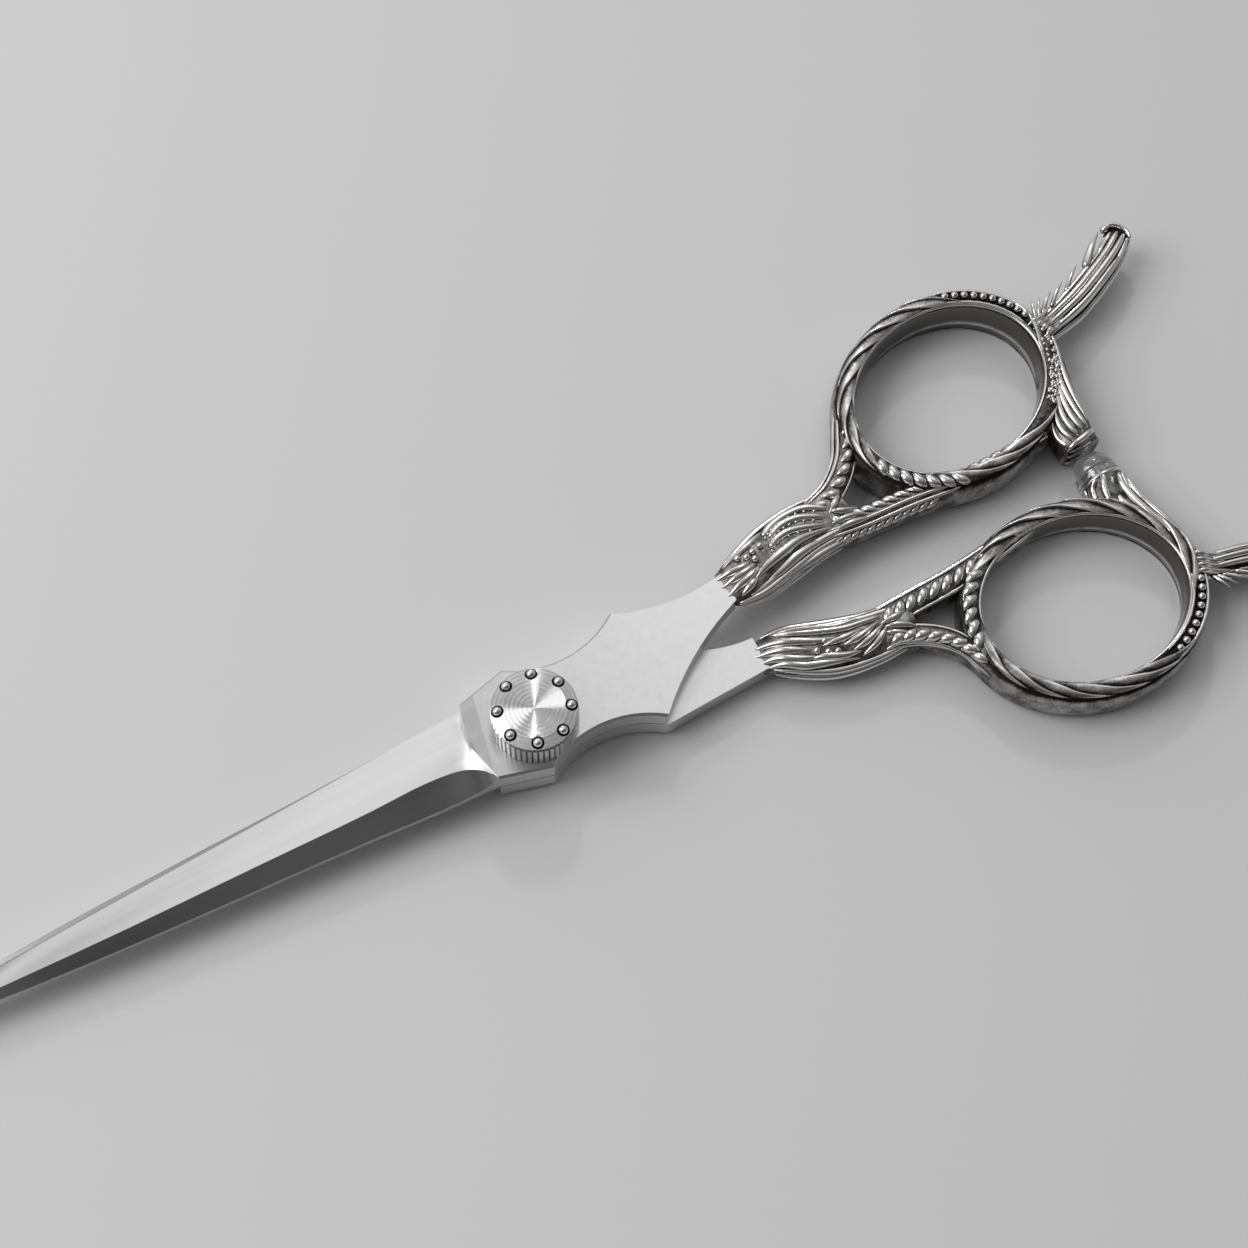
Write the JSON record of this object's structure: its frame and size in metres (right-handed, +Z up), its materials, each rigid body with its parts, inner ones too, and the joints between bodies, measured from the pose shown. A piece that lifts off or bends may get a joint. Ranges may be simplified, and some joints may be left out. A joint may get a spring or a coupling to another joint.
{
  "type": "hair cutting shears",
  "caption": "Hair cutting shears with two ground blades on a dial-tensioned pivot, cast oval finger rings on forked struts, curved finger rests and a clear closing bumper.",
  "frame": {"origin": "on the pivot axis, in the plane that the shears lie on (the flat back of the pivot bolt's head)", "axes": "+X from the pivot towards the handles, +Y towards the finger ring, +Z up out of the table through the dial"},
  "size_m": [0.1666, 0.0535, 0.0098],
  "materials": {
    "blade_steel": "satin ground, polished edge",
    "cast_handle": "antiqued cast, high points polished",
    "clear_bumper": "clear, slightly smoky",
    "pivot_steel": "turned",
    "bush_bronze": "reamed",
    "washer_plastic": "smooth",
    "spring_steel": "rolled",
    "dial_steel": "turned face, straight knurl",
    "stud_chrome": "polished"
  },
  "bodies": {
    "finger_half": {"finger_blade": "blade_steel", "finger_handle": "cast_handle", "finger_side_rest": "cast_handle", "finger_rest_stud": "pivot_steel", "pivot_bolt": "pivot_steel", "friction_washer": "washer_plastic", "click_plate": "spring_steel", "click_balls": "stud_chrome", "disc_spring": "spring_steel"},
    "thumb_half": {"thumb_blade": "blade_steel", "thumb_handle": "cast_handle", "thumb_side_rest": "cast_handle", "thumb_rest_stud": "pivot_steel", "bumper": "clear_bumper", "bumper_stud": "pivot_steel", "bearing_bush": "bush_bronze", "ride_washer": "washer_plastic"},
    "dial": {"tension_dial": "dial_steel", "dial_nut": "bush_bronze", "dial_studs": "stud_chrome"}
  },
  "joints": [
    {"name": "blade_pivot", "type": "hinge", "parent": "finger_half", "child": "thumb_half", "pos_m": [0, 0, 0], "axis": [0, 0, -1], "range_deg": [0, 140]},
    {"name": "dial_turn", "type": "hinge", "parent": "finger_half", "child": "dial", "pos_m": [0, 0, 0], "axis": [0, 0, 1], "range_deg": [-180, 180]}
  ]
}
